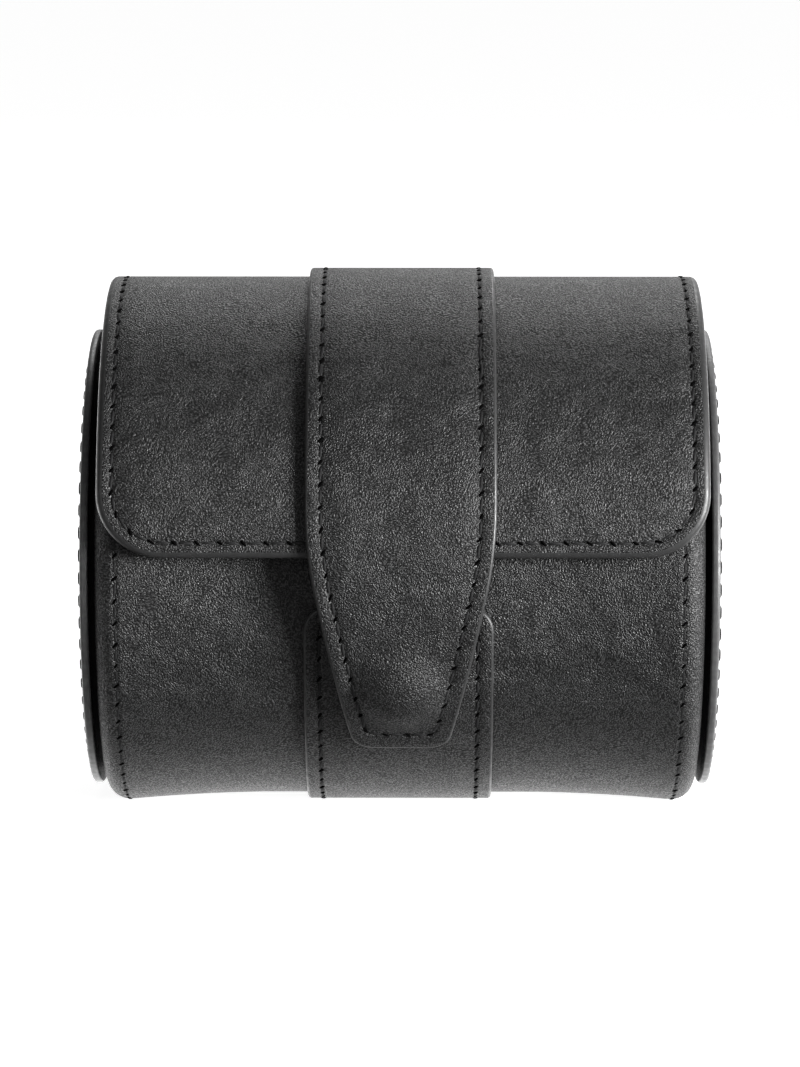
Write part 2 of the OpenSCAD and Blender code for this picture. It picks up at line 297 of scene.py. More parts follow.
# %% [markdown]
# ## Finishes
# The case is made of few things: smooth black leather with a fine grain, edges that were burnished and
# painted, waxed thread, suede, and some board and steel that nobody sees. Each gets its own recipe of nodes.
# Grain that comes from Object coordinates keeps its real size everywhere on the case. The grain's pits are
# painted darker and its tops lighter, as painted shade and light. The edges of the two end panels are painted
# a lighter grey than the others, as painted light for the lamp from the right. The awl holes are near-black,
# painted shade for the dark inside of each hole, and the felt in the gap behind each end panel is near-black
# too, partly its own colour and partly painted shade for the deep gap.

# %% Node helpers
def new_finish(name, colour, roughness, **sockets):
    """A material with its plain values on the shader's own sockets."""
    finish = bpy.data.materials.new(name)
    finish.use_nodes = True
    shader = finish.node_tree.nodes["Principled BSDF"]
    shader.inputs["Base Color"].default_value = (*colour, 1)
    shader.inputs["Roughness"].default_value = roughness
    for socket, value in sockets.items():
        shader.inputs[socket.replace("_", " ")].default_value = value
    return finish, finish.node_tree, shader


def add(tree, kind, *in_order, **by_name):
    """A node with some of its settings or inputs filled in, or joined to another node's output."""
    node, inputs = tree.nodes.new(kind), dict(enumerate(in_order))
    for key, value in by_name.items():
        if hasattr(node, key):
            setattr(node, key, value)
        else:
            inputs[key.replace("_", " ")] = value
    for key, value in inputs.items():
        if isinstance(value, bpy.types.NodeSocket):
            tree.links.new(value, node.inputs[key])
        else:
            node.inputs[key].default_value = value
    return node


def reckon(tree, operation, *values):
    """The result of a sum on outputs and numbers."""
    return add(tree, "ShaderNodeMath", *values, operation=operation).outputs[0]


def place_on(tree):
    """Where a point is on its own piece."""
    return add(tree, "ShaderNodeTexCoord").outputs["Object"]


def ramp(tree, factor, low, high, at_low=0.0, at_high=1.0):
    """Turn a value between at_low and at_high into one between low and high."""
    return add(tree, "ShaderNodeMapRange", From_Min=at_low, From_Max=at_high, To_Min=low, To_Max=high,
               Value=factor).outputs["Result"]


def tint(tree, factor, shader, colour, spread):
    """Let the base colour wander from a share darker than it is to a share lighter."""
    mix = add(tree, "ShaderNodeMix", data_type="RGBA", Factor=factor)
    for socket, share in zip([s for s in mix.inputs if s.type == "RGBA"], (1 - spread, 1 + spread)):
        socket.default_value = (*[c * share for c in colour], 1)
    result = next(s for s in mix.outputs if s.type == "RGBA")
    tree.links.new(result, shader.inputs["Base Color"])


def bumps(tree, shader, layers):
    """Stack bump nodes: each layer is a height, its strength and its real height in metres."""
    last = None
    for height, strength, distance in layers:
        bump = add(tree, "ShaderNodeBump", Strength=strength, Distance=distance, Height=height)
        if last:
            tree.links.new(last.outputs["Normal"], bump.inputs["Normal"])
        last = bump
    for socket in ("Normal", "Coat Normal"):
        tree.links.new(last.outputs["Normal"], shader.inputs[socket])


# %% Leather
def leather_finish(name, colour, roughness, grain, depth, crease_shade, coat_and_crease_shade):
    """Leather: fine pebbles and creases on slow waves, and a clear finish over them.

    The first share is how much darker the pits and lighter the tops are painted than the colour: painted
    shade in the creases and painted light on the tops. The pair that follows is how much of the clear finish
    lies in the pits and on the tops; less of it in the pits makes them mirror less, which is painted shade as
    well."""
    finish, tree, shader = new_finish(name, colour, roughness, Specular_IOR_Level=0.5, Coat_Roughness=0.48)
    place = place_on(tree)
    warp = add(tree, "ShaderNodeTexNoise", Scale=170.0, Detail=1.0, Vector=place)
    bent = add(tree, "ShaderNodeVectorMath", warp.outputs["Color"], (0.003, 0.003, 0.003), place,
               operation="MULTIPLY_ADD").outputs[0]
    pebbles = add(tree, "ShaderNodeTexVoronoi", feature="F1", Scale=grain, Vector=bent)
    waves = add(tree, "ShaderNodeTexNoise", Scale=grain * 1.15, Detail=1.0, Roughness=0.45, Vector=bent)
    slow = add(tree, "ShaderNodeTexNoise", Scale=70.0, Detail=3.0, Roughness=0.55, Vector=place)
    top = ramp(tree, pebbles.outputs["Distance"], 0.8, 0.0, 0.0, 0.8)
    relief = reckon(tree, "MULTIPLY_ADD", waves.outputs["Fac"], 1.8, top)
    bumps(tree, shader, [(slow.outputs["Fac"], 0.5, 0.0003), (relief, 1.0, depth)])
    # Painted shade: the pits get a darker colour and less clear finish than the tops, which get painted
    # light.
    crease_shade_mask = ramp(tree, relief, 0.0, 1.0, 1.02, 1.52)
    tint(tree, crease_shade_mask, shader, colour, crease_shade)
    tree.links.new(ramp(tree, crease_shade_mask, roughness + 0.08, roughness - 0.06), shader.inputs["Roughness"])
    tree.links.new(ramp(tree, crease_shade_mask, *coat_and_crease_shade), shader.inputs["Coat Weight"])
    return finish


# Painted shade: the grain's pits are up to eight tenths darker than the colour, and its tops as much lighter
# as painted light.
leather = leather_finish("fine_grain_leather", (0.016, 0.016, 0.0162), 0.5, 3600.0, 0.0001, 0.8, (0.0, 1.0))
edge_paint = leather_finish("burnished_edge", (0.026, 0.026, 0.0263), 0.4, 900.0, 0.00001, 0.12, (0.55, 0.65))
# The end panels' edges are painted a lighter grey than the other edges: painted light for the lamp from the
# right that falls on them.
panel_edge_painted_light = leather_finish("burnished_panel_edge_painted_light", (0.085, 0.085, 0.0856), 0.4, 900.0, 0.00001, 0.12,
                             (0.7, 0.8))
print("three leather finishes:", leather.name, edge_paint.name, panel_edge_painted_light.name)

# %% Thread, holes, suede and the rest
def speckled(name, colour, roughness, scale, depth, spread=0.15, **sockets):
    """A plain finish with a fine noise in its colour and height."""
    finish, tree, shader = new_finish(name, colour, roughness, **sockets)
    noise = add(tree, "ShaderNodeTexNoise", Scale=scale, Detail=4.0, Roughness=0.6,
                Vector=place_on(tree)).outputs["Fac"]
    tint(tree, ramp(tree, noise, 0.0, 1.0, 0.3, 0.7), shader, colour, spread)
    bumps(tree, shader, [(noise, 0.6, depth)])
    return finish


thread_black = speckled("waxed_thread", (0.015, 0.015, 0.0155), 0.62, 5200.0, 0.00004,
                        Specular_IOR_Level=0.35)
# The awl holes are near-black bodies: painted shade for the dark inside of each hole.
hole_painted_shade = speckled("hole_painted_shade", (0.001, 0.001, 0.001), 0.9, 3000.0, 0.00002, Specular_IOR_Level=0.05)
board = speckled("grey_board", (0.24, 0.2, 0.155), 0.9, 1400.0, 0.00005)
# The spacer felt is near-black, darker than the leather: partly its own colour and partly painted shade for
# the deep gap around each end panel.
felt_and_gap_shade = speckled("black_felt_and_gap_shade", (0.006, 0.006, 0.006), 0.95, 2200.0, 0.00008, 0.3)
steel = speckled("magnet_steel", (0.55, 0.55, 0.57), 0.32, 900.0, 0.000004, 0.04, Metallic=1.0)
foam = speckled("cream_foam", (0.68, 0.63, 0.5), 0.95, 1300.0, 0.0002)


def suede_finish(name, colour, spread):
    """Suede: a short soft nap that was brushed one way here and the other way there."""
    finish, tree, shader = new_finish(name, colour, 0.95, Specular_IOR_Level=0.15,
                                      Sheen_Weight=0.4, Sheen_Roughness=0.5)
    place = place_on(tree)
    nap = add(tree, "ShaderNodeTexNoise", Scale=1500.0, Detail=5.0, Roughness=0.7,
              Vector=place).outputs["Fac"]
    brushed = add(tree, "ShaderNodeTexNoise", Scale=75.0, Detail=4.0, Roughness=0.6, Distortion=0.8,
                  Vector=place).outputs["Fac"]
    both = reckon(tree, "ADD", nap, brushed)
    tint(tree, ramp(tree, both, 0.0, 1.0, 0.75, 1.25), shader, colour, spread)
    bumps(tree, shader, [(brushed, 0.5, 0.0006), (nap, 0.9, 0.00025)])
    return finish


suede = suede_finish("charcoal_suede", (0.06, 0.06, 0.064), 0.4)
print("and", len([thread_black, hole_painted_shade, board, felt_and_gap_shade, steel, foam, suede]), "other finishes")


def dress(piece, *finishes):
    """Give a piece its finishes, by the number on each face. Clearing the old ones also clears these
    numbers, so they are kept and given back."""
    which = np.zeros(len(piece.data.polygons), dtype=np.int32)
    piece.data.polygons.foreach_get("material_index", which)
    piece.data.materials.clear()
    for finish in finishes:
        piece.data.materials.append(finish)
    which = np.minimum(which, len(finishes) - 1).astype(np.int32)
    piece.data.polygons.foreach_set("material_index", which)


# %% [markdown]
# ## One stitch
# The thread lies in the groove between two slanted awl holes, and dives into the leather at both ends. In
# a photograph the holes are what the eye finds, as small black slits. One stitch and one slit are modelled
# here, and every row is made of copies of them. The slit is a near-black body sunk into the leather, painted
# shade for the dark inside of the hole.

# %% Model the stitch and the slit
def small_ball(name, size, rings):
    """A ball with its poles along Y, drawn out to a size."""
    nothing()
    bpy.ops.mesh.primitive_uv_sphere_add(segments=8, ring_count=rings, radius=0.5)
    piece = begin(name)
    bpy.ops.transform.rotate(value=math.pi / 2, orient_axis="X", center_override=(0, 0, 0))
    bpy.ops.transform.resize(value=size)
    return piece


stitch = small_ball("stitch_pattern", (0.46 * MM, 2.9 * MM, 0.36 * MM), 6)
pick("VERT", lambda v: abs(v.co.y) > 1.2 * MM)
bpy.ops.transform.translate(value=(0, 0, -0.22 * MM))
only(stitch)
slit = small_ball("slit_pattern", (0.52 * MM, 1.5 * MM, 0.7 * MM), 5)
for pattern in (slit, stitch):
    only(pattern)
    bpy.ops.object.shade_smooth()
print("a stitch has", len(stitch.data.polygons), "faces, a slit", len(slit.data.polygons))

# %% Sewing a row
PITCH = 3.5 * MM
THREAD_SLANT, SLIT_SLANT = 4.0, 42.0    # degrees off the seam, on average
HOLE_AT = -0.24 * MM


def along_seam(points, closed):
    """The awl holes of a seam, as near to one pitch apart as a whole number of stitches allows."""
    points = [Vector(p) for p in points] + ([Vector(points[0])] if closed else [])
    steps = [(b - a).length for a, b in zip(points, points[1:])]
    total = sum(steps)
    count = max(1, round(total / PITCH))
    holes, walked, i = [], 0.0, 0
    for k in range(count + 1):
        goal = min(total * k / count, total - 1e-9)
        while walked + steps[i] < goal:
            walked += steps[i]
            i += 1
        holes.append(points[i].lerp(points[i + 1], (goal - walked) / steps[i]))
    return holes


def stamp(pattern, places):
    """One mesh of copies of a pattern. A place is a matrix."""
    row = bmesh.new()
    for place in places:
        before = len(row.verts)
        row.from_mesh(pattern.data)
        row.verts.ensure_lookup_table()
        bmesh.ops.transform(row, matrix=place, verts=row.verts[before:])
    return row


def turned(spot, run, height, angle):
    """A matrix at a flat spot, its Y along the run, turned clockwise by an angle."""
    heading = math.atan2(run.y, run.x) - math.pi / 2
    return (Matrix.Translation((spot.x, spot.y, height))
            @ Matrix.Rotation(heading - math.radians(angle), 4, "Z"))


def sew(name, seam, closed=True, thread_at=-0.12 * MM, skip=None):
    """Thread and slits of one row, still flat. No two are quite alike, as a hand sews them."""
    holes = along_seam(seam, closed)
    threads, slits = [], []
    for number, (a, b) in enumerate(zip(holes, holes[1:])):
        if skip and skip((a + b) / 2):
            continue
        wobble = math.sin(number * 2.4)
        threads.append(turned((a + b) / 2, b - a, thread_at, THREAD_SLANT + 2.5 * wobble))
        slant = SLIT_SLANT + 8 * math.sin(number * 3.9)
        slits.append(turned(a, b - a, HOLE_AT - 0.04 * MM * wobble, slant))
    made = []
    for part, pattern, places in (("thread", stitch, threads), ("slits", slit, slits)):
        row = stamp(pattern, places)
        mesh = bpy.data.meshes.new(f"{name}_{part}")
        row.to_mesh(mesh)
        row.free()
        mesh.polygons.foreach_set("use_smooth", [True] * len(mesh.polygons))
        piece = bpy.data.objects.new(mesh.name, mesh)
        bpy.context.scene.collection.objects.link(piece)
        dress(piece, thread_black if part == "thread" else hole_painted_shade)
        made.append(piece)
    print(name, "has", len(threads), "stitches")
    return made


# %% [markdown]
# ## The lid
# The lid is a board between leather and suede. Its leather runs on behind the board as the hinge, and ends
# in a tail that is sewn to the tube. It is taken to be one piece of leather, so it is cut as one: two large
# round corners in front, a rounded edge, a groove all round, then slices so that it can bend.

# %% Cut, groove and lay the lid
def lay_row(row, line, start=0.0):
    """Lay the thread and the slits of a row."""
    for piece in row:
        only(piece)
        lay(piece, line, start)


LID_HALF = 46.7 * MM
LID_THICK, LID_EDGE = 2.2 * MM, 1.0 * MM
lid_skin = cut_piece("lid_skin", 2 * LID_HALF, lid_line.length)
round_corners(lambda v: v.co.y < MM, 10 * MM, 12)
round_corners(lambda v: v.co.y > lid_line.length - MM and abs(v.co.x) > 40 * MM, 4 * MM, 6)
thicken(LID_THICK, LID_EDGE)
lid_seam = press_groove(SEAM_MARGIN - LID_EDGE)
slice_up(1.6 * MM, 1, 0, lid_line.length)
slice_up(6 * MM, 0, -LID_HALF, LID_HALF)
lid_rear = LID_R * math.radians(LID_REAR - LID_FRONT)


def lid_depth(s):
    """Leather and board together as far as the lid's rear edge, leather alone behind it."""
    return np.where(s < lid_rear - 0.5 * MM, 1.0, LEATHER / LID_THICK)


lay(lid_skin, lid_line, 0.0, lid_depth)
dress(lid_skin, leather, edge_paint)
lid_row = sew("lid_seam", lid_seam)
lay_row(lid_row, lid_line)
for piece in [lid_skin, *lid_row]:
    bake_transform(piece)
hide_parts("lid_leather", "lid_board", "hinge_leather")

# %% Line the lid with suede
LINING_R, LINING = LID_R - LID_THICK, 0.8 * MM
lining_line = Line(arc(LID_CENTRE, LINING_R, 3.9, 142.6), aside=lid_line.aside)
lid_suede = cut_piece("lid_suede", 2 * LID_HALF - 0.6 * MM, lining_line.length)
round_corners(lambda v: v.co.y < MM, 9.7 * MM, 12)
thicken(LINING, 0.3 * MM)
slice_up(1.6 * MM, 1, 0, lining_line.length)
lay(lid_suede, lining_line)
dress(lid_suede, suede)
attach(lid_suede, "lid")
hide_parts("lid_lining")
print("the lining is", round(lining_line.length / MM, 1), "mm long")

# %% [markdown]
# ## The strap and its tongue
# One long strap crosses the lid. It is sewn down as far as the bar tacks, where doubled stitches take the
# pull, and hangs free below them as the tongue. The tongue tapers to a blunt tip and covers a magnet, which
# pushes up a low round swelling. Its flat shape is a rectangle whose lower end is drawn in.

# %% Line of the strap
BEND = 5                      # turn below which the tongue follows a wider round
BEND_LIFT = 2.4 * MM
TONGUE_CENTRE = LID_CENTRE - BEND_LIFT * toward(BEND)
TONGUE_R = STRAP_R + BEND_LIFT
MAGNET_TURN, TACK_TURN, SPLIT_TURN = -25, 45, 122
BELOW_MAGNET, ABOVE_MAGNET = 11.9 * MM, 22.4 * MM   # from the magnet's axis to the tip and the shoulders
TIP_TURN = MAGNET_TURN - math.degrees(math.asin(BELOW_MAGNET / TONGUE_R))
STRAP_HALF, TIP_HALF = 14.6 * MM, 7.2 * MM
STRAP_THICK, STRAP_EDGE, TONGUE_THICK = 1.4 * MM, 0.45 * MM, 1.15 * MM
strap_line = Line(arc(TONGUE_CENTRE, TONGUE_R, TIP_TURN, BEND)[:-1] + arc(LID_CENTRE, STRAP_R, BEND, LID_REAR)
                  + hinge_bend(2.0 * MM) + arc(TUBE_AXIS, 41.7 * MM, TAIL, 163), aside=0.17 * MM)


def strap_s(turn):
    """Length from the tip to a turn of the strap, as far as the lid's rear edge."""
    low = TONGUE_R * math.radians(min(turn, BEND) - TIP_TURN)
    return low + STRAP_R * math.radians(max(turn - BEND, 0))


dome_at = TONGUE_R * math.radians(MAGNET_TURN - TIP_TURN)
shoulder = TONGUE_R * math.asin(ABOVE_MAGNET / TONGUE_R) + dome_at
tacks, split = strap_s(TACK_TURN), strap_s(SPLIT_TURN)
print("tongue", round(tacks / MM, 1), "mm long, tapering below", round(shoulder / MM, 1), "mm")

# %% Cut and lay the front strap
def cut_square(y, behind):
    """Cut the piece square across, and drop what lies behind the cut or before it."""
    everything()
    bpy.ops.mesh.bisect(plane_co=(0, y, 0), plane_no=(0, 1, 0), use_fill=True,
                        clear_outer=behind, clear_inner=not behind)


JOINT = 5 * MM                # cut longer by this, so that no groove runs across the joint


def tip_shift(y):
    """The seam across the tip lies a millimetre further in than those along the sides."""
    return MM * min(max(1.5 - y / (6 * MM), 0), 1)


strap_front = cut_piece("strap_front", 2 * STRAP_HALF, split + JOINT)
everything()
bpy.ops.mesh.bisect(plane_co=(0, shoulder, 0), plane_no=(0, 1, 0))
pick("VERT", lambda v: v.co.y < MM)
bpy.ops.transform.resize(value=(TIP_HALF / STRAP_HALF, 1, 1))
pick("EDGE", lambda e: all(abs(v.co.y - shoulder) < 1e-6 for v in e.verts))
bpy.ops.mesh.dissolve_edges(use_verts=False)
round_corners(lambda v: v.co.y < MM, 2.9 * MM, 8)
round_corners(lambda v: abs(v.co.y - shoulder) < 1e-5, 6.2 * MM, 6)
thicken(STRAP_THICK, STRAP_EDGE)
front_seam = press_groove(SEAM_MARGIN - STRAP_EDGE, shift=tip_shift)
slice_up(1.5 * MM, 1, 0, split)
slice_up(1.2 * MM, 0, -9 * MM, 9 * MM)
cut_square(split, behind=True)
only(strap_front)
DOME_RISE, DOME_REACH = 2.25 * MM, 8.6 * MM


def swell(piece, s, height, reach):
    """Push the grain side up into a low round swelling over a magnet."""
    for v in piece.data.vertices:
        away = math.hypot(v.co.x, v.co.y - s) / reach
        if v.co.z > -0.6 * MM and away < 1:
            v.co.z += height * (1 - away**2.6) ** 2


swell(strap_front, dome_at, DOME_RISE, DOME_REACH)
lay(strap_front, strap_line, 0.0, lambda s: np.where(s < tacks - 2 * MM, TONGUE_THICK / STRAP_THICK, 1.0))
dress(strap_front, leather, edge_paint)

# %% Sew the front strap
front_row = sew("strap_front_seam", front_seam, skip=lambda p: p.y > split - 1.2 * MM)
for number, side in enumerate((-1, 1)):
    tack_seam = [Vector((side * 12.45 * MM, tacks - 1.2 * MM, 0)),
                 Vector((side * 12.0 * MM, tacks + 5.8 * MM, 0))]
    front_row += sew(f"bar_tack_{number}", tack_seam, closed=False, thread_at=-0.05 * MM)
for piece in front_row:
    swell(piece, dome_at, DOME_RISE, DOME_REACH)
lay_row(front_row, strap_line)
for piece in [strap_front, *front_row]:
    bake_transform(piece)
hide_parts("lid_strap", "tongue_face", "tongue_backing")

# %% [markdown]
# ## The strap over the hinge
# Behind the lid the same strap runs on over the hinge and ends on the tail. It has to bend with the hinge,
# so it is a piece of its own, and the joint between the two lies on the lid where both ride together.

# %% Cut, lay and sew the rear strap
rear_length = strap_line.length - split
strap_rear = cut_piece("strap_rear", 2 * STRAP_HALF, rear_length)
pick("VERT", lambda v: v.co.y < MM)
bpy.ops.transform.translate(value=(0, -JOINT, 0))
round_corners(lambda v: v.co.y > rear_length - MM, 4 * MM, 6)
thicken(STRAP_THICK, STRAP_EDGE)
rear_seam = press_groove(SEAM_MARGIN - STRAP_EDGE)
slice_up(1.5 * MM, 1, 0, rear_length)
slice_up(6 * MM, 0, -STRAP_HALF, STRAP_HALF)
cut_square(0, behind=False)
lay(strap_rear, strap_line, split)
dress(strap_rear, leather, edge_paint)
rear_row = sew("strap_rear_seam", rear_seam, skip=lambda p: p.y < 1.2 * MM)
lay_row(rear_row, strap_line, split)
for piece in [strap_rear, *rear_row]:
    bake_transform(piece)
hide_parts("hinge_strap")

# %% [markdown]
# ## The catch strap
# The lower strap is sewn around the tube from under the tongue, beneath the case and up its back. It holds
# the steel that the tongue's magnet finds. Below the case it is pressed flat by the table.

# %% Cut, lay and sew the catch strap
CATCH_R, CATCH_EDGE = 38.95 * MM, 0.4 * MM
CATCH_TOP, CATCH_MAGNET = -1.2, -18.4   # turns of the end under the tongue and of the steel
catch_line = Line(arc(TUBE_AXIS, CATCH_R, 158 - 360, CATCH_TOP), aside=-0.2 * MM)
catch_skin = cut_piece("catch_strap_skin", 2 * STRAP_HALF, catch_line.length)
round_corners(lambda v: v.co.y > catch_line.length - MM, 4 * MM, 8)
thicken(1.0 * MM, CATCH_EDGE)
catch_seam = press_groove(2.45 * MM - CATCH_EDGE)
slice_up(1.5 * MM, 1, 0, catch_line.length)
slice_up(1.6 * MM, 0, -8 * MM, 8 * MM)
only(catch_skin)
catch_dome_at = catch_line.length - CATCH_R * math.radians(CATCH_TOP - CATCH_MAGNET)
swell(catch_skin, catch_dome_at, 0.7 * MM, 7 * MM)
lay(catch_skin, catch_line)
dress(catch_skin, leather, edge_paint)
catch_row = sew("catch_seam", catch_seam)
lay_row(catch_row, catch_line)
for piece in [catch_skin, *catch_row]:
    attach(piece, "case")
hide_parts("catch_strap")

# %% [markdown]
# ## The tube's leather
# The tube is drawn in at its waist and flares to two padded rims, and a seam runs around each rim. It is a
# round body, so its profile is drawn once and spun. The window is then opened: the faces over it go, and
# the two holes are bridged, which gives the wall that the leather covers as it turns in.

# %% Draw the profile
FLARE_FROM, FLARE_TO = 22 * MM, TUBE_HALF - RIM_ROUND - 0.6 * MM
FLARE_START = math.radians(1)
SEAM_X = 43.5 * MM
GROOVE = 0.12 * MM
flare_chord = math.hypot(FLARE_TO - FLARE_FROM, RIM_R - WAIST_R)
flare_tilt = math.atan2(RIM_R - WAIST_R, FLARE_TO - FLARE_FROM)
FLARE_R = flare_chord / 2 / math.sin(flare_tilt - FLARE_START)


def outer_radius(x):
    """Radius of the tube's leather at a distance from the middle."""
    rim_x = TUBE_HALF - RIM_ROUND
    if x <= FLARE_FROM:
        radius = WAIST_R
    elif x < FLARE_TO:
        along = x - FLARE_FROM + FLARE_R * math.sin(FLARE_START)
        radius = WAIST_R + FLARE_R * math.cos(FLARE_START) - math.sqrt(FLARE_R**2 - along**2)
    elif x <= rim_x:
        radius = RIM_R
    else:
        radius = RIM_R - RIM_ROUND + math.sqrt(max(RIM_ROUND**2 - (x - rim_x) ** 2, 0))
    return radius - GROOVE * math.exp(-((x - SEAM_X) / (0.4 * MM)) ** 2)


outer = [(x * MM, outer_radius(x * MM)) for x in
         (0, 7.3, 14.6, 18, 22, 26, 30, 33, 36, 38.5, 40.3, 41.5, 42.1, 42.5, 42.8, 43.0, 43.2, 43.35, 43.5,
          43.65, 43.8, 44.0, 44.25, 44.6, 45.0, 45.4, 45.8, 46.15, 46.4, 46.6, 46.73)]
outer += [(TUBE_HALF, RIM_R - RIM_ROUND), (TUBE_HALF, 34.6 * MM), (TUBE_HALF, 33.5 * MM)]
inner = [(46.0 * MM, 33.5 * MM), (46.0 * MM, SHELL_R - 0.6 * MM), (45.6 * MM, SHELL_R), (43.2 * MM, SHELL_R),
         (41.5 * MM, SHELL_R), (22 * MM, SHELL_R)]
half = outer + inner
profile = half + [(0, SHELL_R)] + [(-x, r) for x, r in reversed(half)][:-1]
print("the profile has", len(profile), "points")

# %% Spin it
def drawn_profile(name, points):
    """A closed outline of vertices in front of the axis, each extruded from the last."""
    nothing()
    bpy.ops.mesh.primitive_plane_add(size=1)
    piece = begin(name)
    bpy.ops.mesh.select_mode(type="VERT")
    bpy.ops.mesh.merge(type="CENTER")
    places = [Vector((x, -r, TUBE_AXIS.y)) for x, r in points]
    bpy.ops.transform.translate(value=places[0])
    for a, b in zip(places, places[1:]):
        bpy.ops.mesh.extrude_region_move(TRANSFORM_OT_translate={"value": b - a})
    pick("VERT", lambda v: (v.co - places[0]).length < 1e-7 or (v.co - places[-1]).length < 1e-7)
    bpy.ops.mesh.edge_face_add()
    everything()
    return piece


def spin_round(steps):
    """Spin the outline once round the tube's axis."""
    bpy.ops.mesh.spin(steps=steps, angle=2 * math.pi, center=(0, TUBE_AXIS.x, TUBE_AXIS.y), axis=(1, 0, 0))
    face_outwards(merge=True)


def close_poles(r):
    """Where the profile stops just short of the axis: take away the thin bore and close both poles."""
    pick("FACE", lambda f: abs(f.normal.x) < 0.2 and radius_of(f.calc_center_median()) < r)
    bpy.ops.mesh.delete(type="FACE")
    everything()
    bpy.ops.mesh.fill_holes(sides=0)
    face_outwards()


def turn_of(point):
    """Turn of a point about the tube's axis, in degrees."""
    return math.degrees(math.atan2(point.z - TUBE_AXIS.y, -(point.y - TUBE_AXIS.x)))


def radius_of(point):
    """Distance of a point from the tube's axis."""
    return math.hypot(point.y - TUBE_AXIS.x, point.z - TUBE_AXIS.y)


tube_skin = drawn_profile("tube_skin", profile)
spin_round(180)
print("spun to", len(bmesh.from_edit_mesh(tube_skin.data).faces), "faces")

# %% Open the window
WINDOW_HALF = 41.5 * MM
WINDOW_FRONT, WINDOW_REAR = 20, 134
LIP_R = 34.6                  # in mm: the leather turns in as far as the suede of the bore
NEAR = 1e-5


def over_window(face):
    """True for a face that lies in the opening."""
    middle = face.calc_center_median()
    return abs(middle.x) < WINDOW_HALF and WINDOW_FRONT < turn_of(middle) < WINDOW_REAR


def lip(v):
    """True for a point of the leather's inside close around the opening."""
    beside = WINDOW_FRONT - 4.1 < turn_of(v.co) < WINDOW_REAR + 4.1 and abs(v.co.x) < 43.3 * MM
    return beside and radius_of(v.co) < SHELL_R + NEAR


gone = pick("FACE", over_window)
bpy.ops.mesh.delete(type="FACE")
pick("EDGE", lambda e: e.is_boundary)
bpy.ops.mesh.bridge_edge_loops()
pick("VERT", lip)
mesh = bmesh.from_edit_mesh(tube_skin.data)
for v in mesh.verts:
    if v.select:
        away = Vector((0, v.co.y - TUBE_AXIS.x, v.co.z - TUBE_AXIS.y)).normalized()
        v.co = Vector((v.co.x, TUBE_AXIS.x, TUBE_AXIS.y)) + away * LIP_R * MM
bmesh.update_edit_mesh(tube_skin.data)


def window_rim(edge):
    """Edges between the wall of the window and the tube's outer or inner face."""
    a, b = edge.verts
    on_side = all(abs(abs(v.co.x) - WINDOW_HALF) < NEAR for v in (a, b))
    on_end = all(min(abs(turn_of(v.co) - end) for end in (WINDOW_FRONT, WINDOW_REAR)) < 0.05 for v in (a, b))
    middle = (a.co + b.co) / 2
    inside = abs(middle.x) < WINDOW_HALF + NEAR and WINDOW_FRONT - 0.1 < turn_of(middle) < WINDOW_REAR + 0.1
    crease_shade_mask = abs(radius_of(a.co) - radius_of(b.co)) < 1.2 * MM
    return inside and (on_side or on_end) and crease_shade_mask and len(edge.link_faces) == 2


found = pick("EDGE", window_rim)
bpy.ops.mesh.bevel(offset=1.1 * MM, segments=4, clamp_overlap=True)
face_outwards(merge=True)
soften(tube_skin)
for v in tube_skin.data.vertices:
    v.co.z = max(v.co.z, 0.0)
dress(tube_skin, leather, edge_paint)
print("opened", gone, "faces and rolled", found, "edges")

# %% Sew the rims
def round_row(name, x, radius):
    """A row that runs right round the tube, sewn flat and laid on a round line."""
    ring = Line(arc(TUBE_AXIS, radius, -180, 180))
    row = sew(name, [(x, ring.length * i / 360, 0) for i in range(361)], closed=False, thread_at=-0.16 * MM)
    lay_row(row, ring)
    return row


for side, sign in SIDES:
    for piece in round_row(f"rim_seam_{side}", sign * SEAM_X, RIM_R - 0.02 * MM):
        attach(piece, "case")
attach(tube_skin, "case")
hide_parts("case_leather")

# %% [markdown]
# ## The end panels
# A round panel is sewn on each end, a little apart from the tube, so that a dark gap shows around it. The
# panel is a disc of leather over a stiffener with one row of stitches near its rim.

# %% Spin the end panels
PANEL_BACK, PANEL_FACE, PANEL_R = 47.8 * MM, 49.1 * MM, 36.5 * MM
PANEL_SEAM_R = PANEL_R - SEAM_MARGIN


def end_panel(side, sign):
    """Leather face and stiffener as one spun piece with a rounded, painted edge."""
    face_x, back_x, r = PANEL_FACE, PANEL_BACK, PANEL_R
    rows = [(face_x - 0.22 * MM * math.exp(-((rr * MM - PANEL_SEAM_R) / (0.33 * MM)) ** 2), rr * MM)
            for rr in (0.3, 12, 24, 31, 33, 33.5, 33.8, 34.0, 34.1, 34.2, 34.4, 34.7, 35.2, 36.0)]
    rows += [(face_x - 0.5 * MM * (1 - math.cos(a)), r - 0.5 * MM * (1 - math.sin(a)))
             for a in [math.radians(22.5 * i) for i in range(1, 5)]]
    rows += [(back_x + 0.3 * MM, r), (back_x + 0.1 * MM, r - 0.1 * MM),
             (back_x, r - 0.3 * MM), (back_x, 0.3 * MM)]
    piece = drawn_profile(f"end_panel_skin_{side}", [(sign * x, rr) for x, rr in rows])
    spin_round(144)
    close_poles(0.31 * MM)
    mesh = bmesh.from_edit_mesh(piece.data)
    for f in mesh.faces:
        f.material_index = 1 if radius_of(f.calc_center_median()) > 35.8 * MM else 0
    soften(piece)
    dress(piece, leather, panel_edge_painted_light)
    return piece


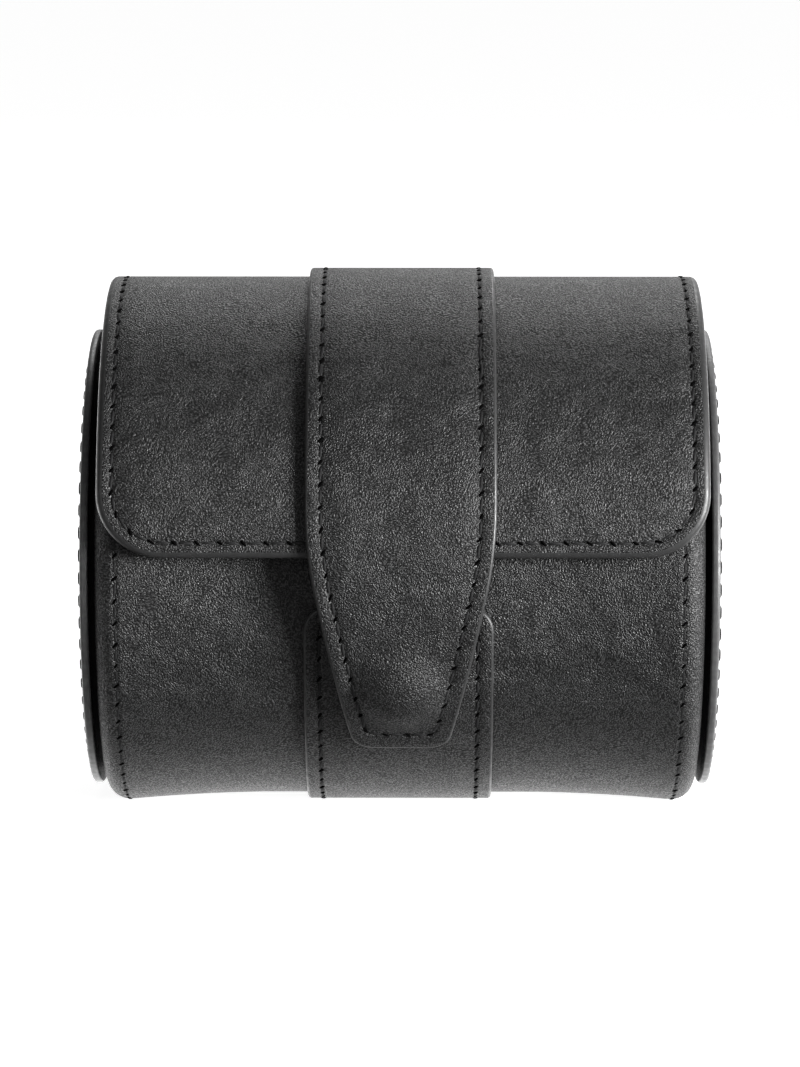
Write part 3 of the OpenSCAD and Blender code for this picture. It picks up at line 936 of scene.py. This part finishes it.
def disc_row(name, sign):
    """A round row on an end panel: flat round seam, then turned to face outwards."""
    angles = [2 * math.pi * i / 240 for i in range(240)]
    row = sew(name, [(PANEL_SEAM_R * math.cos(a), PANEL_SEAM_R * math.sin(a), 0) for a in angles],
              thread_at=0.2 * MM)
    stand = Matrix.Translation((sign * PANEL_FACE, TUBE_AXIS.x, TUBE_AXIS.y))
    stand = stand @ Matrix.Rotation(sign * math.pi / 2, 4, "Y")
    for piece in row:
        piece.data.transform(stand)
        piece.data.update()
    return row


for side, sign in SIDES:
    panel = end_panel(side, sign)
    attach(panel, "case")
    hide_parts(f"end_panel_{side}", f"end_panel_board_{side}")
    for piece in disc_row(f"end_seam_{side}", sign):
        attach(piece, "case")

# %% [markdown]
# ## The watch cushion
# The watch is worn by a soft suede roll that lies loose in the tube. Its round ends are sewn on with a
# piping, and it is stuffed. Stuffing is what cloth simulation does well: a roll that starts too thin is
# blown up, and held only where the two round seams are. Blender's cloth is tuned for things the size of a
# person, so the roll is simulated ten times as large and comes back to its own size afterwards.

# %% Spin a roll that is a little too thin
CUSHION_AXIS = Vector((0.0, 31.05 * MM))
CUSHION_R, CUSHION_HALF, CROWN, DOME = 26.5 * MM, 40 * MM, 1.3 * MM, 2.2 * MM
SLACK = 1.0 * MM
END_R = CUSHION_R - CROWN - SLACK

roll_half = [(CUSHION_HALF * i / 8, END_R + (CROWN - 0.6 * MM) * (1 - (i / 8) ** 2)) for i in range(9)]
roll_half += [(CUSHION_HALF + 0.7 * MM * (1 - (r / END_R) ** 2), r)
              for r in [END_R * (1 - i / 8) for i in range(1, 8)] + [0.25 * MM]]
cushion = drawn_profile("cushion_suede", [(-x, r) for x, r in reversed(roll_half)][:-1] + roll_half)
spin_round(96)
close_poles(0.3 * MM)
bpy.ops.transform.translate(value=(0, 0, CUSHION_AXIS.y - TUBE_AXIS.y))

# %% Stuff it
LARGE, MOMENTS = 10, 20
middle = (0, CUSHION_AXIS.x, CUSHION_AXIS.y)
everything()
bpy.ops.transform.resize(value=(LARGE,) * 3, center_override=middle)
only(cushion)
cushion.data.remesh_voxel_size = 2.0 * MM * LARGE
bpy.ops.object.voxel_remesh()
before = points_of(cushion.data)
held = cushion.vertex_groups.new(name="round_seams")
at_seam = np.abs(np.abs(before[:, 0]) - CUSHION_HALF * LARGE) < 1.3 * MM * LARGE
from_axis = np.hypot(before[:, 1] - middle[1], before[:, 2] - middle[2])
at_seam &= from_axis > (END_R - 1.5 * MM) * LARGE
held.add([int(i) for i in np.flatnonzero(at_seam)], 1.0, "REPLACE")
print("the roll has", len(before), "points,", int(at_seam.sum()), "of them held in its seams")
bpy.ops.object.modifier_add(type="CLOTH")
cloth = cushion.modifiers[-1]
cloth.settings.use_pressure = True
cloth.settings.uniform_pressure_force = 4.0
cloth.settings.vertex_group_mass = held.name
cloth.settings.effector_weights.gravity = 0.0
cloth.point_cache.frame_start, cloth.point_cache.frame_end = 1, MOMENTS
for moment in range(1, MOMENTS + 1):
    bpy.context.scene.frame_set(moment)
bpy.ops.object.modifier_apply(modifier=cloth.name)
bpy.context.scene.frame_set(1)
step = points_of(cushion.data) - before
size = np.linalg.norm(step, axis=1)
MOST = 3.0 * MM * LARGE       # no point may move further than this
moved = before + step * np.minimum(1, MOST / np.maximum(size, 1e-9))[:, None]
print("stuffing moved it by up to", round(float(size.max()) / LARGE / MM, 2), "mm")
cushion.data.vertices.foreach_set("co", moved.ravel())

# %% Back to size, with its seams drawn in
bpy.ops.object.modifier_add(type="SUBSURF")
cushion.modifiers[-1].levels = cushion.modifiers[-1].render_levels = 1
bpy.ops.object.modifier_apply(modifier=cushion.modifiers[-1].name)
soft = (points_of(cushion.data) - middle) / LARGE
x, r, turn = soft[:, 0], np.hypot(soft[:, 1], soft[:, 2]), np.arctan2(soft[:, 2], soft[:, 1])
to_seam = np.hypot(np.abs(x) - CUSHION_HALF, r - END_R)
gathers = 0.22 * MM * np.cos(44 * turn) * np.exp(-((to_seam - 2.2 * MM) / (1.8 * MM)) ** 2)
pull = 0.5 * MM * np.exp(-(to_seam / (1.3 * MM)) ** 2)
SEAM_TURN = math.radians(200)
off_line = np.abs((turn - SEAM_TURN + math.pi) % (2 * math.pi) - math.pi) * r
long_seam = 0.5 * MM * np.exp(-(off_line / (0.7 * MM)) ** 2) * (np.abs(x) < CUSHION_HALF)
on_side = r > END_R - 0.5 * MM
wanted = np.where(on_side, r - gathers - pull - long_seam, r)
limit = CUSHION_R - CROWN * np.minimum(1, np.abs(x) / CUSHION_HALF) ** 2
scale = np.minimum(wanted, limit) / np.maximum(r, 1e-9)
ends = np.where(on_side, 0, gathers + pull)
reach = CUSHION_HALF + DOME * (1 - np.minimum(1, r / (CUSHION_R - CROWN)) ** 2)
x = np.sign(x) * np.minimum(np.abs(x) - ends, reach)
soft = np.stack([x, soft[:, 1] * scale, soft[:, 2] * scale], axis=1) + middle
cushion.data.vertices.foreach_set("co", soft.ravel())
cushion.data.update()
cushion.vertex_groups.clear()
only(cushion)
bpy.ops.object.shade_smooth()
dress(cushion, suede)
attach(cushion, "cushion")
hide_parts("cushion_core", "cushion_cover", "cushion_cap_left", "cushion_cap_right")

# %% Pipe its round seams
for side, sign in SIDES:
    nothing()
    bpy.ops.mesh.primitive_torus_add(location=(sign * (CUSHION_HALF - 0.1 * MM), middle[1], middle[2]),
                                     rotation=(0, math.pi / 2, 0), major_radius=END_R + 0.1 * MM,
                                     minor_radius=0.85 * MM, major_segments=120, minor_segments=10)
    piping = bpy.context.active_object
    bpy.ops.object.transform_apply(location=True, rotation=True, scale=True)
    piping.name = piping.data.name = f"cushion_piping_{side}"
    bpy.ops.object.shade_smooth()
    dress(piping, suede)
    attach(piping, "cushion")
print("cushion and piping are", len(cushion.data.polygons) + 2 * len(piping.data.polygons), "faces")

# %% [markdown]
# ## Finish what stays as CAD
# Linings, boards, spacers and magnets have their true shapes already, so they keep them and only get the
# right finish. The solids that were replaced above get theirs as well.

# %% Dress the CAD parts
FINISHES = {
    leather: ("case_leather", "catch_strap", "hinge_leather", "hinge_strap", "lid_leather", "lid_strap",
              "tongue_face", "tongue_backing", "end_panel_left", "end_panel_right"),
    suede: ("case_lining", "end_lining_left", "end_lining_right", "lid_lining", "cushion_cover",
            "cushion_cap_left", "cushion_cap_right"),
    board: ("case_board", "end_board_left", "end_board_right", "lid_board"),
    edge_paint: ("end_panel_board_left", "end_panel_board_right"),
    felt_and_gap_shade: ("end_spacer_left", "end_spacer_right"),
    steel: ("catch_magnet", "tongue_magnet"),
    foam: ("cushion_core",),
}
for finish, names in FINISHES.items():
    for name in names:
        dress(nodes[name], finish)
for pattern in (stitch, slit):
    bpy.data.objects.remove(pattern)
print("dressed", sum(len(names) for names in FINISHES.values()), "CAD parts")

# %% [markdown]
# ## Light and table
# A product photograph of black leather is lit by large white sheets, because black shows mostly what it
# mirrors. The camera sees a plain white table and sky here. What the leather mirrors is set apart from
# that, by the kind of ray: a room that is dimmer upward, to the left and in front, and a table that is dark
# in front of the case and brighter than white below it. Three lamps add to that.

# %% Levels of the room
ROOM = 0.7           # how bright the leather mirrors the room's horizon
SKY_LIGHT = 0.5      # how much of that also lights it
SKY_TOP = 0.5        # the ceiling, beside the horizon
SKY_LEFT = 0.5       # the left side, beside the right
SKY_FRONT = 0.23     # the dim room behind the camera, beside the bright background
TABLE_FRONT = 0.16   # the table in front of the case, as the leather mirrors it
TABLE_BELOW = 2.4    # the same below and behind it, where 1 is white
TABLE_SEEN = 0.88    # what the camera sees of the table, on top of its own shade

# %% Table
nothing()
bpy.ops.mesh.primitive_plane_add(size=30)
table = bpy.context.active_object
table.name = "table"
white, tree, shader = new_finish("white_table", (0.8, 0.8, 0.8), 0.9, Emission_Color=(1, 1, 1, 1))
path = add(tree, "ShaderNodeLightPath")
tree.links.new(ramp(tree, path.outputs["Is Camera Ray"], 0.0, TABLE_SEEN), shader.inputs["Emission Strength"])
spot = add(tree, "ShaderNodeSeparateXYZ", place_on(tree)).outputs["Y"]
mirrored = add(tree, "ShaderNodeEmission", Strength=ramp(tree, spot, TABLE_FRONT, TABLE_BELOW, -0.032, 0.0))
either = add(tree, "ShaderNodeMixShader", path.outputs["Is Glossy Ray"], shader.outputs[0],
             mirrored.outputs[0])
tree.links.new(either.outputs[0], tree.nodes["Material Output"].inputs["Surface"])
dress(table, white)
print("the leather mirrors the table at", TABLE_FRONT, "in front and", TABLE_BELOW, "below")

# %% Sky
world = bpy.data.worlds.new("studio")
bpy.context.scene.world = world
world.use_nodes = True
tree = world.node_tree
sky = tree.nodes["Background"]
sky.inputs["Color"].default_value = (1, 1, 1, 1)
direction = add(tree, "ShaderNodeTexCoord").outputs["Generated"]
heading = add(tree, "ShaderNodeSeparateXYZ", direction)
rise = ramp(tree, heading.outputs["Z"], 1.0, SKY_TOP, 0.1, 0.85)
sideways = ramp(tree, heading.outputs["X"], SKY_LEFT, 1.0, -0.8, 0.4)
depthways = ramp(tree, heading.outputs["Y"], SKY_FRONT, 1.0, -0.3, 0.6)


def times(a, b):
    """Two strengths multiplied."""
    return reckon(tree, "MULTIPLY", a, b)


def choose(test, if_true, otherwise):
    """One of two strengths, by the kind of ray."""
    return add(tree, "ShaderNodeMix", data_type="FLOAT", Factor=test, A=otherwise,
               B=if_true).outputs["Result"]


room = times(times(times(rise, sideways), depthways), ROOM)
path = add(tree, "ShaderNodeLightPath")
strength = choose(path.outputs["Is Glossy Ray"], room, times(room, SKY_LIGHT))
strength = choose(path.outputs["Is Transmission Ray"], 1.0, strength)
strength = choose(path.outputs["Is Camera Ray"], 1.0, strength)
tree.links.new(strength, sky.inputs["Strength"])
print("the leather mirrors the horizon at", ROOM)

# %% Lamps
def softbox(name, place, size, power):
    """A square lamp that faces the middle of the case."""
    nothing()
    bpy.ops.object.light_add(type="AREA", location=place)
    lamp = bpy.context.active_object
    lamp.name = name
    lamp.data.size = size
    lamp.data.energy = power
    lamp.rotation_euler = (Vector(place) - Vector((0, 0, 0.04))).to_track_quat("Z", "Y").to_euler()
    print(name, "gives", power, "W from", [round(v, 2) for v in place])


softbox("key", (0.76, -0.485, 0.17), 0.32, 16.5)
softbox("fill", (-0.5, -0.9, 0.4), 0.8, 0.6)
softbox("top_back", (0.1, 0.7, 0.7), 0.5, 2.2)

# %% [markdown]
# ## Camera
# As far as its outlines tell, the picture was taken from 70 cm away and 10 degrees above, with a long lens.
# The case sits a little below the middle of the frame.

# %% Camera
FAR = 0.7
nothing()
bpy.ops.object.camera_add()
camera = bpy.context.active_object
camera.name = "camera"
camera.data.sensor_fit = "VERTICAL"
camera.data.sensor_height = 36
camera.data.lens = 146.4
azimuth, height = math.radians(0.3), math.radians(10)
away = Vector((math.sin(azimuth) * math.cos(height), -math.cos(azimuth) * math.cos(height), math.sin(height)))
across = Vector((math.cos(azimuth), math.sin(azimuth), 0))
view_up = across.cross(-away)
aim = Vector((0, TUBE_AXIS.x, TUBE_AXIS.y)) + view_up * 3.63 * MM - across * 0.16 * MM
camera.location = aim + away * FAR
camera.rotation_euler = away.to_track_quat("Z", "Y").to_euler()
bpy.context.scene.camera = camera
bpy.context.scene.view_settings.view_transform = "Standard"
